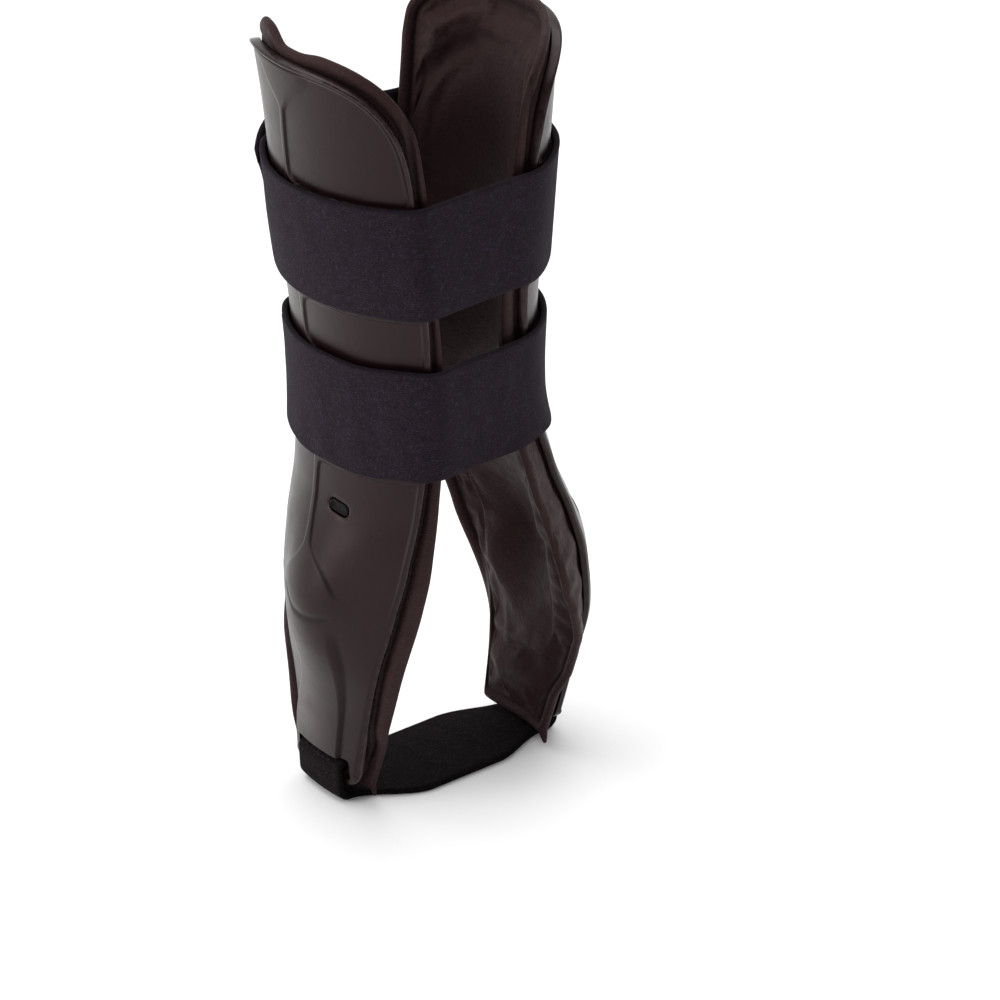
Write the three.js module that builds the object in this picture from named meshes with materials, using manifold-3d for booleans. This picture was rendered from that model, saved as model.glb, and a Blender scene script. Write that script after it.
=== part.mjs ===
// A stirrup ankle brace for the right foot: two rigid side shells with padded liners,
// held by two straps round the leg and one strap under the heel.
// Millimetres, +Z up, the toes would point to -Y and the outside of the foot is at -X.
// The origin is on the floor, midway between the shells.
import * as THREE from 'three';
import { mergeVertices } from 'three/addons/utils/BufferGeometryUtils.js';
import Module from 'manifold-3d';

const wasm = await Module();
wasm.setup();

// Driving sizes
const shellTop = 272;        // height of the shells' top rim above the floor
const shellFoot = 6;         // height of the shells' bottom edge
const halfWidth = 50;        // from the middle to a shell's outer face, at the top
const sectionRadius = 54;    // curvature of a shell seen from above
const edgeReach = 46;        // from a shell's centre line round to its edge
const shellWall = 2.6;
const medialTopDrop = 5;     // how much lower the medial shell's top rim is
const lateralCornerDrop = 46;  // how far the top rim falls to the front edge
const medialCornerDrop = 38;
const backCornerDrop = 22;
const footCornerRise = 6;
const domeHeight = 5;        // bulge over the ankle bone
const domeCentre = 78;
const domeHalfHeight = 19;
const domeHalfWidth = 17;

const linerGap = 0.6;        // between a shell and its liner
const linerThickness = 9.5;
const flangeThickness = 3;   // the liner's welded rim
const flangeReach = 8;       // the widest stretch of liner past the shell's edge
const medialBackFlange = 0.45;  // the medial flange behind, as a share of the one in front
const linerRise = 3;         // liner above the shell's top rim
const backLobeRise = 5;      // extra height of the liner's back lobe
const backLobeFall = 4;      // fall of that lobe towards its back edge
const linerTip = 1.6;        // height of the pointed front corner at the floor
const linerFoot = 4;

const strapWidth = 40;
const strapThickness = 2;
const strapGap = 0.5;
const upperStrapCentre = 209;
const lowerStrapCentre = 150;
const upperOverlap = 40;     // length of the second layer at the back
const lowerOverlap = 32;
const upperEndRise = 10;     // how much higher the upper strap's end sits, as it runs askew
const lowerEndRise = 0;
const layerGap = 0.4;
const upperEndLift = 1.2;    // how far the upper strap's end stands off
const lowerEndLift = 0.4;
const liftStretch = 16;
const clearOfCorner = 16;    // from the medial back corner to the strap's inner end

const heelThickness = 2.2;
const heelGap = 0.35;
const heelTabWidth = 26;
const heelBaseWidth = 38;
const heelBaseCentre = 5;
const heelBend = 4;          // radius of the turn at the floor, on its centre line
const heelHem = 5;           // length of the tucked end inside the shell
const barTop = 12.5;         // top of the shell's bar that the heel strap wraps
const slotHeight = 4.8;
const slotSideGap = 0.6;

const portHeight = 114;      // centre of the oval valve port
const portArc = 7;           // from the shell's centre line forward
const portLength = 9.6;
const portWidth = 5;
const portTilt = -9;         // degrees; the front end sits lower
const plugGap = 0.5;
const plugRecess = 0.9;      // plug face below the shell's outer face
const plugInset = 0.5;       // plug's inner end short of the shell's inner face

// Shell sections from the floor up. Heights are shares of shellTop, spread of halfWidth,
// radius of sectionRadius, and shift, front and back of edgeReach. Flange is a share of
// flangeReach.
const lateralSections = [
  { height: 0.022, spread: 0.82, radius: 1.40, shift: 0.17, front: 0.30, back: 0.42, flange: 0.30 },
  { height: 0.125, spread: 0.86, radius: 1.11, shift: 0.13, front: 0.44, back: 0.47, flange: 0.85 },
  { height: 0.217, spread: 0.93, radius: 0.94, shift: 0.09, front: 0.60, back: 0.51, flange: 1.05 },
  { height: 0.290, spread: 0.94, radius: 0.93, shift: 0.07, front: 0.73, back: 0.66, flange: 1.10 },
  { height: 0.353, spread: 0.92, radius: 0.93, shift: 0.04, front: 0.80, back: 0.74, flange: 1.00 },
  { height: 0.430, spread: 0.84, radius: 0.96, shift: 0.02, front: 0.83, back: 0.80, flange: 0.72 },
  { height: 0.530, spread: 0.80, radius: 1.00, shift: 0.01, front: 0.88, back: 0.87, flange: 0.55 },
  { height: 0.621, spread: 0.82, radius: 1.00, shift: 0.00, front: 0.92, back: 0.91, flange: 0.45 },
  { height: 0.768, spread: 0.90, radius: 1.02, shift: 0.00, front: 0.96, back: 0.93, flange: 0.38 },
  { height: 0.897, spread: 0.95, radius: 1.02, shift: 0.00, front: 0.95, back: 0.96, flange: 0.50 },
  { height: 1.000, spread: 1.01, radius: 1.04, shift: 0.00, front: 0.95, back: 0.96, flange: 0.50 },
];
const medialSections = [
  { height: 0.022, spread: 0.88, radius: 1.40, shift: 0.07, front: 0.36, back: 0.40, flange: 0.60 },
  { height: 0.125, spread: 0.94, radius: 1.11, shift: -0.04, front: 0.46, back: 0.48, flange: 1.10 },
  { height: 0.217, spread: 1.00, radius: 0.90, shift: -0.13, front: 0.58, back: 0.63, flange: 2.00 },
  { height: 0.290, spread: 1.01, radius: 0.86, shift: -0.09, front: 0.66, back: 0.70, flange: 2.60 },
  { height: 0.346, spread: 0.97, radius: 0.86, shift: -0.03, front: 0.70, back: 0.74, flange: 2.45 },
  { height: 0.420, spread: 0.85, radius: 0.86, shift: 0.02, front: 0.74, back: 0.80, flange: 2.05 },
  { height: 0.530, spread: 0.78, radius: 0.84, shift: 0.11, front: 0.90, back: 0.89, flange: 1.40 },
  { height: 0.621, spread: 0.81, radius: 0.84, shift: 0.11, front: 1.09, back: 0.93, flange: 0.98 },
  { height: 0.768, spread: 0.89, radius: 0.86, shift: 0.10, front: 1.165, back: 0.96, flange: 0.80 },
  { height: 0.897, spread: 0.96, radius: 0.88, shift: 0.08, front: 1.165, back: 0.96, flange: 0.74 },
  { height: 1.000, spread: 1.01, radius: 0.90, shift: 0.07, front: 1.14, back: 0.96, flange: 0.80 },
];
const lateral = {
  name: 'lateral',
  side: -1,
  top: shellTop,
  cornerDrop: lateralCornerDrop,
  backFlange: 1,
  sections: lateralSections,
};
const medial = {
  name: 'medial',
  side: 1,
  top: shellTop - medialTopDrop,
  cornerDrop: medialCornerDrop,
  backFlange: medialBackFlange,
  sections: medialSections,
};

// Grid of a shell or liner
const gridColumns = 14;
const shellRows = 26;
const linerRows = 26;
const rimPower = 3;          // squareness of the rounded corners

// One column of a section table at a height, by a smooth curve that never overshoots
function along(sections, column, z) {
  const h = z / shellTop;
  const last = sections.length - 1;
  if (h <= sections[0].height) return sections[0][column];
  if (h >= sections[last].height) return sections[last][column];
  let k = 0;
  while (h > sections[k + 1].height) k += 1;
  const slope = (i) => (sections[i + 1][column] - sections[i][column])
    / (sections[i + 1].height - sections[i].height);
  const tangent = (i) => {
    if (i === 0) return slope(0);
    if (i === last) return slope(last - 1);
    const before = slope(i - 1);
    const after = slope(i);
    return before * after <= 0 ? 0 : 2 * before * after / (before + after);
  };
  const span = sections[k + 1].height - sections[k].height;
  const t = (h - sections[k].height) / span;
  const t2 = t * t;
  const t3 = t2 * t;
  return (2 * t3 - 3 * t2 + 1) * sections[k][column]
    + (t3 - 2 * t2 + t) * span * tangent(k)
    + (3 * t2 - 2 * t3) * sections[k + 1][column]
    + (t3 - t2) * span * tangent(k + 1);
}

function smoothStep(from, to, value) {
  return THREE.MathUtils.smoothstep(value, from, to);
}

// A point on a half's surface: arc forward of its centre line, height z, and out from
// the shell's outer face
function surfacePoint(half, arc, z, out) {
  const radius = along(half.sections, 'radius', z) * sectionRadius;
  const spread = along(half.sections, 'spread', z) * halfWidth;
  const shift = along(half.sections, 'shift', z) * edgeReach;
  const dome = domeHeight
    * Math.exp(-((arc / domeHalfWidth) ** 2) - ((z - domeCentre) / domeHalfHeight) ** 2);
  const angle = arc / radius;
  const reach = radius + out + dome;
  const x = half.side * (spread - radius + reach * Math.cos(angle));
  return new THREE.Vector3(x, shift - reach * Math.sin(angle), z);
}

// Arc from the centre line to the shell's edge, for q from -1 at the back to 1 in front
function shellArc(half, q, z) {
  return q * edgeReach * along(half.sections, q > 0 ? 'front' : 'back', z);
}

function linerArc(half, q, z) {
  const share = q > 0 ? 1 : half.backFlange;
  return shellArc(half, q, z) + q * share * flangeReach * along(half.sections, 'flange', z);
}

function cornerCurve(q) {
  return 1 - (1 - Math.abs(q) ** rimPower) ** (1 / rimPower);
}

function shellTopAt(half, q) {
  return half.top - (q > 0 ? half.cornerDrop : backCornerDrop) * cornerCurve(q);
}

function shellFootAt(half, q) {
  return shellFoot + footCornerRise * cornerCurve(q);
}

// The liner's rim: a tall back lobe, a dip at the centre line and a front lobe
function linerTopAt(half, q) {
  const backLobe = backLobeRise * smoothStep(0.12, 0.35, -q)
    - backLobeFall * smoothStep(0.45, 0.8, -q);
  const frontLobe = 0.3 * backLobeRise * smoothStep(0.05, 0.3, q);
  return shellTopAt(half, q) + linerRise + backLobe + frontLobe;
}

function linerFootAt(half, q) {
  const tip = (linerFoot - linerTip) * smoothStep(0.85, 1, q);
  return linerFoot - tip + 2 * footCornerRise * cornerCurve(Math.min(q, 0));
}

// The liner leans in at its foot, clear of the heel strap's tucked end
function strapRoom(z) {
  const room = heelThickness + 2 * heelGap;
  const clearTop = barTop + slotHeight + linerThickness / 2;
  return room * (1 - smoothStep(clearTop, clearTop + 2 * room + heelHem, z));
}

// Closed body between two sheets of points, sheet[i][j] with i across and j upwards.
// The face sheet's outside is on the left of i when looking along j.
function bodyBetween(face, back, closedAcross = false) {
  const across = face.length;
  const up = face[0].length;
  const positions = [];
  [face, back].forEach((sheet) => sheet.forEach((column) => column.forEach((p) => {
    positions.push(p.x, p.y, p.z);
  })));
  const id = (sheet, i, j) => (sheet * across + (i % across)) * up + j;
  const indices = [];
  const quad = (a, b, c, d) => indices.push(a, b, c, a, c, d);
  const spans = closedAcross ? across : across - 1;
  for (let i = 0; i < spans; i += 1) {
    for (let j = 0; j < up - 1; j += 1) {
      quad(id(0, i, j), id(0, i + 1, j), id(0, i + 1, j + 1), id(0, i, j + 1));
      quad(id(1, i, j), id(1, i, j + 1), id(1, i + 1, j + 1), id(1, i + 1, j));
    }
    quad(id(0, i, 0), id(1, i, 0), id(1, i + 1, 0), id(0, i + 1, 0));
    quad(id(0, i, up - 1), id(0, i + 1, up - 1), id(1, i + 1, up - 1), id(1, i, up - 1));
  }
  if (!closedAcross) {
    for (let j = 0; j < up - 1; j += 1) {
      quad(id(0, 0, j), id(0, 0, j + 1), id(1, 0, j + 1), id(1, 0, j));
      const end = across - 1;
      quad(id(0, end, j), id(1, end, j), id(1, end, j + 1), id(0, end, j + 1));
    }
  }
  const geometry = new THREE.BufferGeometry();
  geometry.setAttribute('position', new THREE.Float32BufferAttribute(positions, 3));
  geometry.setIndex(indices);
  return facingOut(geometry);
}

// Turns the faces round where the body's signed volume is negative
function facingOut(geometry) {
  const p = geometry.attributes.position;
  const index = geometry.index.array;
  const corner = (k) => new THREE.Vector3().fromBufferAttribute(p, index[k]);
  let volume = 0;
  for (let k = 0; k < index.length; k += 3) {
    volume += corner(k).dot(corner(k + 1).cross(corner(k + 2)));
  }
  if (volume < 0) {
    for (let k = 0; k < index.length; k += 3) {
      [index[k + 1], index[k + 2]] = [index[k + 2], index[k + 1]];
    }
  }
  return geometry;
}

function sheetOf(half, rows, arcAt, footAt, topAt, outAt) {
  const sheet = [];
  for (let i = 0; i <= gridColumns; i += 1) {
    const q = Math.sin((Math.PI / 2) * (2 * i / gridColumns - 1));
    const column = [];
    for (let j = 0; j <= rows; j += 1) {
      const z = THREE.MathUtils.lerp(footAt(half, q), topAt(half, q), j / rows);
      column.push(surfacePoint(half, arcAt(half, q, z), z, outAt(q, z, j / rows)));
    }
    sheet.push(column);
  }
  return sheet;
}

function solidOf(geometry) {
  const bare = geometry.clone();
  bare.deleteAttribute('normal');
  bare.deleteAttribute('uv');
  const merged = mergeVertices(bare, 1e-5);
  return new wasm.Manifold(new wasm.Mesh({
    numProp: 3,
    vertProperties: new Float32Array(merged.attributes.position.array),
    triVerts: new Uint32Array(merged.index.array),
  }));
}

function geometryOf(solid) {
  const mesh = solid.getMesh();
  const geometry = new THREE.BufferGeometry();
  geometry.setAttribute('position', new THREE.BufferAttribute(mesh.vertProperties, 3));
  geometry.setIndex(new THREE.BufferAttribute(mesh.triVerts, 1));
  return geometry;
}

// A prism through the wall along X, from an outline drawn in (arc, height) about a point
function wallCutter(half, shape, arc, z, inner, outer, sides) {
  const length = outer - inner;
  const geometry = new THREE.ExtrudeGeometry(shape, {
    depth: length, bevelEnabled: false, curveSegments: sides,
  });
  const centre = surfacePoint(half, arc, z, inner);
  const out = surfacePoint(half, arc, z, outer).sub(centre).normalize();
  const up = new THREE.Vector3(0, 0, 1);
  const forward = new THREE.Vector3().crossVectors(up, out).normalize();
  const turn = new THREE.Matrix4().makeBasis(forward, up, out);
  turn.setPosition(centre);
  geometry.applyMatrix4(turn);
  return geometry;
}

function ovalShape(length, width, tilt) {
  const straight = (length - width) / 2;
  const shape = new THREE.Shape();
  shape.absarc(straight, 0, width / 2, -Math.PI / 2, Math.PI / 2);
  shape.absarc(-straight, 0, width / 2, Math.PI / 2, Math.PI * 1.5);
  const angle = THREE.MathUtils.degToRad(tilt);
  const points = shape.getPoints(4).slice(0, -1);
  return new THREE.Shape(points.map((p) => p.rotateAround(new THREE.Vector2(), angle)));
}

// The heel strap's centre line round the shell's foot
function tabArc(half) {
  const z = barTop;
  return (shellArc(half, 1, z) + shellArc(half, -1, z)) / 2;
}

function slotShape() {
  const w = heelTabWidth / 2 + slotSideGap;
  const h = slotHeight / 2;
  const r = h / 2;
  const shape = new THREE.Shape();
  shape.absarc(w - r, h - r, r, 0, Math.PI / 2);
  shape.absarc(-w + r, h - r, r, Math.PI / 2, Math.PI);
  shape.absarc(-w + r, -h + r, r, Math.PI, Math.PI * 1.5);
  shape.absarc(w - r, -h + r, r, Math.PI * 1.5, Math.PI * 2);
  return shape;
}

function shellGeometry(half) {
  const outer = sheetOf(half, shellRows, shellArc, shellFootAt, shellTopAt, () => 0);
  const inner = sheetOf(half, shellRows, shellArc, shellFootAt, shellTopAt, () => -shellWall);
  const body = solidOf(bodyBetween(outer, inner));
  const tilt = -half.side * portTilt;
  const past = domeHeight + shellWall;
  const port = wallCutter(half, ovalShape(portLength, portWidth, tilt), portArc, portHeight,
    -past, past, 4);
  const slot = wallCutter(half, slotShape(), tabArc(half), barTop + slotHeight / 2,
    -past, past, 2);
  return geometryOf(body.subtract(solidOf(port)).subtract(solidOf(slot)));
}

function linerGeometry(half) {
  const faceOut = (q, z) => -shellWall - linerGap - strapRoom(z);
  const padding = (q, share) => {
    const inward = (1 - Math.abs(q) ** 8) * (1 - Math.abs(2 * share - 1) ** 14);
    return flangeThickness + (linerThickness - flangeThickness) * inward;
  };
  const outer = sheetOf(half, linerRows, linerArc, linerFootAt, linerTopAt, faceOut);
  const inner = sheetOf(half, linerRows, linerArc, linerFootAt, linerTopAt,
    (q, z, share) => faceOut(q, z) - padding(q, share));
  return bodyBetween(outer, inner);
}

function plugGeometry(half) {
  const tilt = -half.side * portTilt;
  const shape = ovalShape(portLength - 2 * plugGap, portWidth - 2 * plugGap, tilt);
  return wallCutter(half, shape, portArc, portHeight, -shellWall + plugInset, -plugRecess, 4);
}

// A strap's outline at one height, drawn taut round both shells and liner flanges, from
// the lateral side forward; each point keeps the piece that it touches
function tautOutline(z) {
  const around = [];
  const edgeSteps = 24;
  [lateral, medial].forEach((half) => {
    for (let i = 0; i <= edgeSteps; i += 1) {
      const q = 2 * i / edgeSteps - 1;
      const point = surfacePoint(half, shellArc(half, q, z), z, 0);
      around.push({ point, shellOf: half });
    }
    [-1, 1].forEach((q) => {
      const point = surfacePoint(half, linerArc(half, q, z), z, -shellWall - linerGap);
      around.push({ point, shellOf: null });
    });
  });
  const directions = 120;
  const outline = [];
  for (let k = 0; k < directions; k += 1) {
    const angle = Math.PI + 2 * Math.PI * k / directions;
    const away = new THREE.Vector3(Math.cos(angle), Math.sin(angle), 0);
    const reach = around.map(({ point }) => point.dot(away));
    const touched = around[reach.indexOf(Math.max(...reach))];
    const point = touched.point.clone().addScaledVector(away, strapGap);
    outline.push({ point, shellOf: touched.shellOf });
  }
  return outline;
}

// The outline cut into four stretches: round the lateral shell, across the front, round
// the medial shell and across the back
function strapRoute(z) {
  const outline = tautOutline(z);
  const count = outline.length;
  const onMedial = outline.map(({ shellOf }) => shellOf === medial);
  const onLateral = outline.map(({ shellOf }) => shellOf === lateral);
  const medialFront = onMedial.indexOf(true);
  const medialBack = onMedial.lastIndexOf(true);
  const lateralFront = onLateral.lastIndexOf(true, medialFront);
  const lateralBack = onLateral.indexOf(true, medialBack);
  const run = (from, to) => {
    const points = [];
    for (let k = from; k !== (to + 1) % count; k = (k + 1) % count) points.push(outline[k].point);
    return points;
  };
  return [
    run(lateralBack, lateralFront),
    run(lateralFront, medialFront),
    run(medialFront, medialBack),
    run(medialBack, lateralBack),
  ].map((points) => {
    const lengths = [0];
    for (let k = 1; k < points.length; k += 1) {
      lengths.push(lengths[k - 1] + points[k].distanceTo(points[k - 1]));
    }
    return { points, lengths, total: lengths[points.length - 1] };
  });
}

// A point on a route at a place from 0 to 4, one for each stretch, and round again
function pointAlong(route, place) {
  const stretch = route[((Math.floor(place) % 4) + 4) % 4];
  const distance = (place - Math.floor(place)) * stretch.total;
  let k = 0;
  while (k < stretch.points.length - 2 && stretch.lengths[k + 1] < distance) k += 1;
  const span = stretch.lengths[k + 1] - stretch.lengths[k];
  const t = span > 0 ? (distance - stretch.lengths[k]) / span : 0;
  return stretch.points[k].clone().lerp(stretch.points[k + 1], t);
}

function awayAt(route, place) {
  const near = 0.012;
  const ahead = pointAlong(route, place + near).sub(pointAlong(route, place - near));
  return new THREE.Vector3(ahead.y, -ahead.x, 0).normalize();
}

function placeStep(route, place, distance) {
  return distance / route[((Math.floor(place) % 4) + 4) % 4].total;
}

// Places along the strap, close together where it turns
function strapPlaces(route, start, end) {
  const fine = 0.8;
  const coarse = 9;
  const turnPerStep = 0.16;
  const places = [start];
  let travelled = 0;
  let lastAway = awayAt(route, start);
  for (let place = start; place < end; place += placeStep(route, place, fine)) {
    const away = awayAt(route, place);
    travelled += fine;
    if (place > start && (away.angleTo(lastAway) > turnPerStep || travelled > coarse)) {
      places.push(place);
      travelled = 0;
      lastAway = away;
    }
  }
  places.push(end);
  return places;
}

function strapGeometry(centre, overlap, endLift, endRise) {
  const rows = 4;
  const middle = strapRoute(centre);
  const back = middle[3].total;
  const start = 3 + clearOfCorner / back;
  const lap = start + 4;
  const end = lap + overlap / back;
  const ramp = (layerGap + strapThickness) * 6 / back;
  const liftLength = liftStretch / back;
  const outAt = (place) => {
    const layer = smoothStep(lap - ramp, lap - ramp / 8, place);
    const lift = smoothStep(end - liftLength, end, place);
    return layer * (strapThickness + layerGap) + lift * endLift;
  };
  const riseLength = overlap / back;
  const riseAt = (place) => endRise
    * smoothStep(lap - 0.35 * riseLength, end + 0.1 * riseLength, place);
  const routes = [];
  for (let j = 0; j <= rows; j += 1) {
    routes.push(strapRoute(centre + strapWidth * (j / rows - 0.5)));
  }
  const sheet = (layer) => strapPlaces(middle, start, end).map((place) => routes.map(
    (route) => pointAlong(route, place)
      .addScaledVector(awayAt(route, place), outAt(place) + layer)
      .add(new THREE.Vector3(0, 0, riseAt(place))),
  ));
  return bodyBetween(sheet(strapThickness), sheet(0));
}

// The heel strap's route on one side, from its tucked end, over the bar and down to the
// floor, as distances out from the shell's outer face and heights
function heelTurn() {
  const clear = heelGap + heelThickness / 2;
  const floor = heelThickness / 2;
  const over = shellWall / 2 + clear;
  const route = [{ out: -shellWall - clear, z: barTop - heelHem, away: Math.PI }];
  const steps = 6;
  for (let k = 0; k <= steps; k += 1) {
    const angle = Math.PI * (1 - k / steps);
    route.push({
      out: over * Math.cos(angle) - shellWall / 2,
      z: barTop + over * Math.sin(angle),
      away: angle,
    });
  }
  const bendSteps = 4;
  for (let k = 0; k <= bendSteps; k += 1) {
    const angle = -Math.PI / 2 * (k / bendSteps);
    route.push({
      out: clear - heelBend + heelBend * Math.cos(angle),
      z: floor + heelBend + heelBend * Math.sin(angle),
      away: angle,
    });
  }
  return route;
}

// A place across the heel strap, v from -1 to 1, on its turn round one shell's foot
function heelTurnPoint(half, { out, z, away }, v, layer) {
  const arc = tabArc(half) + v * heelTabWidth / 2;
  const height = z + layer * Math.sin(away);
  const reach = out + layer * Math.cos(away);
  return surfacePoint(half, arc, Math.max(height, shellFoot), reach).setZ(height);
}

// The same on the flat stretch under the heel, t from 0 at the lateral end to 1
function heelBasePoint(ends, t, v, layer) {
  const [from, to] = ends.map((end) => heelTurnPoint(end.half, end.station, v, layer));
  const middle = smoothStep(0, 0.32, t) * smoothStep(0, 0.32, 1 - t);
  const point = from.lerp(to, t);
  const wideY = heelBaseCentre - v * heelBaseWidth / 2;
  return point.setY(THREE.MathUtils.lerp(point.y, wideY, middle));
}

function heelStrapGeometry() {
  const acrossSteps = 6;
  const baseSteps = 9;
  const turn = heelTurn();
  const ends = [lateral, medial].map((half) => ({ half, station: turn[turn.length - 1] }));
  const stations = turn.map((station) => (v, layer) => heelTurnPoint(lateral, station, v, layer));
  for (let k = 1; k < baseSteps; k += 1) {
    stations.push((v, layer) => heelBasePoint(ends, k / baseSteps, v, layer));
  }
  [...turn].reverse().forEach((station) => {
    stations.push((v, layer) => heelTurnPoint(medial, station, v, layer));
  });
  const sheet = (layer) => stations.map((pointAt) => {
    const column = [];
    for (let k = 0; k <= acrossSteps; k += 1) {
      column.push(pointAt(2 * k / acrossSteps - 1, layer));
    }
    return column;
  });
  return bodyBetween(sheet(heelThickness / 2), sheet(-heelThickness / 2));
}

// Materials
const shellPlastic = new THREE.MeshStandardMaterial({ color: 0x3b3132, roughness: 0.38, metalness: 0 });
const linerVinyl = new THREE.MeshStandardMaterial({ color: 0x2e2325, roughness: 0.75, metalness: 0 });
const strapLoop = new THREE.MeshStandardMaterial({ color: 0x2c262c, roughness: 0.95, metalness: 0 });
const heelWebbing = new THREE.MeshStandardMaterial({ color: 0x1f191b, roughness: 0.9, metalness: 0 });
const plugRubber = new THREE.MeshStandardMaterial({ color: 0x1a1617, roughness: 0.45, metalness: 0 });

const brace = new THREE.Group();

function add(name, geometry, material) {
  const mesh = new THREE.Mesh(geometry, material);
  mesh.name = name;
  brace.add(mesh);
}

[lateral, medial].forEach((half) => {
  add(`shell_${half.name}`, shellGeometry(half), shellPlastic);
  add(`liner_${half.name}`, linerGeometry(half), linerVinyl);
  add(`valve_${half.name}`, plugGeometry(half), plugRubber);
});
add('strap_upper', strapGeometry(upperStrapCentre, upperOverlap, upperEndLift, upperEndRise), strapLoop);
add('strap_lower', strapGeometry(lowerStrapCentre, lowerOverlap, lowerEndLift, lowerEndRise), strapLoop);
add('heel_strap', heelStrapGeometry(), heelWebbing);

export default brace;
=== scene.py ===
"""Looks of a stirrup ankle brace for the right foot: two moulded shells, two padded liners,
two loop straps and a heel strap. Shapes are worked out in millimetres and written in metres."""
from math import atan, cos, log, pi, radians, sin, sqrt

import bmesh
import bpy
import numpy as np
from mathutils import Matrix, Vector


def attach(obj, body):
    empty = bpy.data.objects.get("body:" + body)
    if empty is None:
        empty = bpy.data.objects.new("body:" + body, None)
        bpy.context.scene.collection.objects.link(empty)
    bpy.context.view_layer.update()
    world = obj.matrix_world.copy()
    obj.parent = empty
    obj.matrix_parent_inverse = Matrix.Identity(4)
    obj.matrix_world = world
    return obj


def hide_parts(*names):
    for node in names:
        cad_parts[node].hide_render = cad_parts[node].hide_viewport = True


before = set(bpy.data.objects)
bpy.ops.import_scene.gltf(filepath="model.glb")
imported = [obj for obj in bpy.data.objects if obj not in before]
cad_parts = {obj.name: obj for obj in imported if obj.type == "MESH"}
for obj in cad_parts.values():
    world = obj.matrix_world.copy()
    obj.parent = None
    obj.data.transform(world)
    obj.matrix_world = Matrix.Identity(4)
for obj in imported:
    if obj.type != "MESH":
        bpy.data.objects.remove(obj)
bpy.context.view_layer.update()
scene = bpy.context.scene

MM = 0.001

# Sizes, as in the part's own source
SHELL_TOP = 272.0
SHELL_FOOT = 6.0
HALF_WIDTH = 50.0
SECTION_RADIUS = 54.0
EDGE_REACH = 46.0
SHELL_WALL = 2.6
MEDIAL_TOP_DROP = 5.0
LATERAL_CORNER_DROP = 46.0
MEDIAL_CORNER_DROP = 38.0
BACK_CORNER_DROP = 22.0
FOOT_CORNER_RISE = 6.0
DOME_HEIGHT = 5.0
DOME_CENTRE = 78.0
DOME_HALF_HEIGHT = 19.0
DOME_HALF_WIDTH = 17.0
RIM_POWER = 3.0

LINER_GAP = 0.6
LINER_THICKNESS = 9.5
FLANGE_THICKNESS = 3.0
FLANGE_REACH = 8.0
BACK_FLANGES = {"lateral": 1.0, "medial": 0.45}
LINER_RISE = 3.0
BACK_LOBE_RISE = 5.0
BACK_LOBE_FALL = 4.0
BACK_LOBE_START = (0.12, 0.35)
BACK_LOBE_END = (0.45, 0.8)
FRONT_LOBE_START = (0.05, 0.3)
FRONT_LOBE_SHARE = 0.3
LINER_TIP = 1.6
LINER_FOOT = 4.0

STRAP_WIDTH = 40.0
STRAP_THICKNESS = 2.0
STRAP_GAP = 0.5
UPPER_STRAP_CENTRE = 209.0
LOWER_STRAP_CENTRE = 150.0
UPPER_OVERLAP = 40.0
LOWER_OVERLAP = 32.0
UPPER_END_RISE = 10.0
LOWER_END_RISE = 0.0
UPPER_END_CORNER = 18.5
LOWER_END_CORNER = 11.0
LAYER_GAP = 0.4
UPPER_END_LIFT = 1.2
LOWER_END_LIFT = 0.4
LIFT_STRETCH = 16.0
CLEAR_OF_CORNER = 16.0

HEEL_THICKNESS = 2.2
HEEL_GAP = 0.35
HEEL_TAB_WIDTH = 26.0
HEEL_BASE_WIDTH = 38.0
HEEL_BASE_CENTRE = 5.0
HEEL_BEND = 4.0
HEEL_HEM = 5.0
BAR_TOP = 12.5
SLOT_HEIGHT = 4.8
SLOT_SIDE_GAP = 0.6

PORT_HEIGHT = 114.0
PORT_ARC = 7.0
PORT_LENGTH = 9.6
PORT_WIDTH = 5.0
PORT_TILT = -9.0
PLUG_GAP = 0.5
PLUG_RECESS = 0.9
PLUG_INSET = 0.5

# Sizes of the detail that only the looks have
FLARE = 4.4
FLARE_TOP = 92.0
FLARE_FADE = 42.0
GAP_GROOVE = 1.3
GROOVE_PLACE = 0.5
GROOVE_HALF_WIDTH = 0.9
GROOVE_START = (18.0, 26.0)
BACK_FOOT_DROP = 5.0
WRINKLE_DEPTH = 0.5
WRINKLE_START = (40.0, 52.0)
WRINKLE_END = (96.0, 116.0)
SIDE_BULGE = 1.6
BULGE_TOP = 126.0
PORT_RIM = 0.35
SLOT_CORNER = 1.0
SLOT_NOTCH_WIDTH = 2.4
SLOT_NOTCH_DEPTH = 3.0
HEEL_TAB_TRIM = 0.8
STRAP_STEP = 0.8
STRAP_EDGE_WAVE = 0.18
STRAP_FACE_WAVE = 0.12
SEAM_INSET = 4.6
SEAM_HALF_WIDTH = 0.7
SEAM_DEPTH = 1.1
PAD_SHOULDER = 11.0
SWELL_ROOM = 1.5
SWELL_CAP = 3.0
SWELL_FRAMES = 20
CLOTH = {
    "quality": 6, "mass": 0.12, "tension_stiffness": 12, "compression_stiffness": 12,
    "shear_stiffness": 6, "bending_stiffness": 0.15, "use_pressure": True,
    "uniform_pressure_force": 4, "shrink_min": -0.07,
}
FLAT_ANGLE = 3.1

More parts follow.
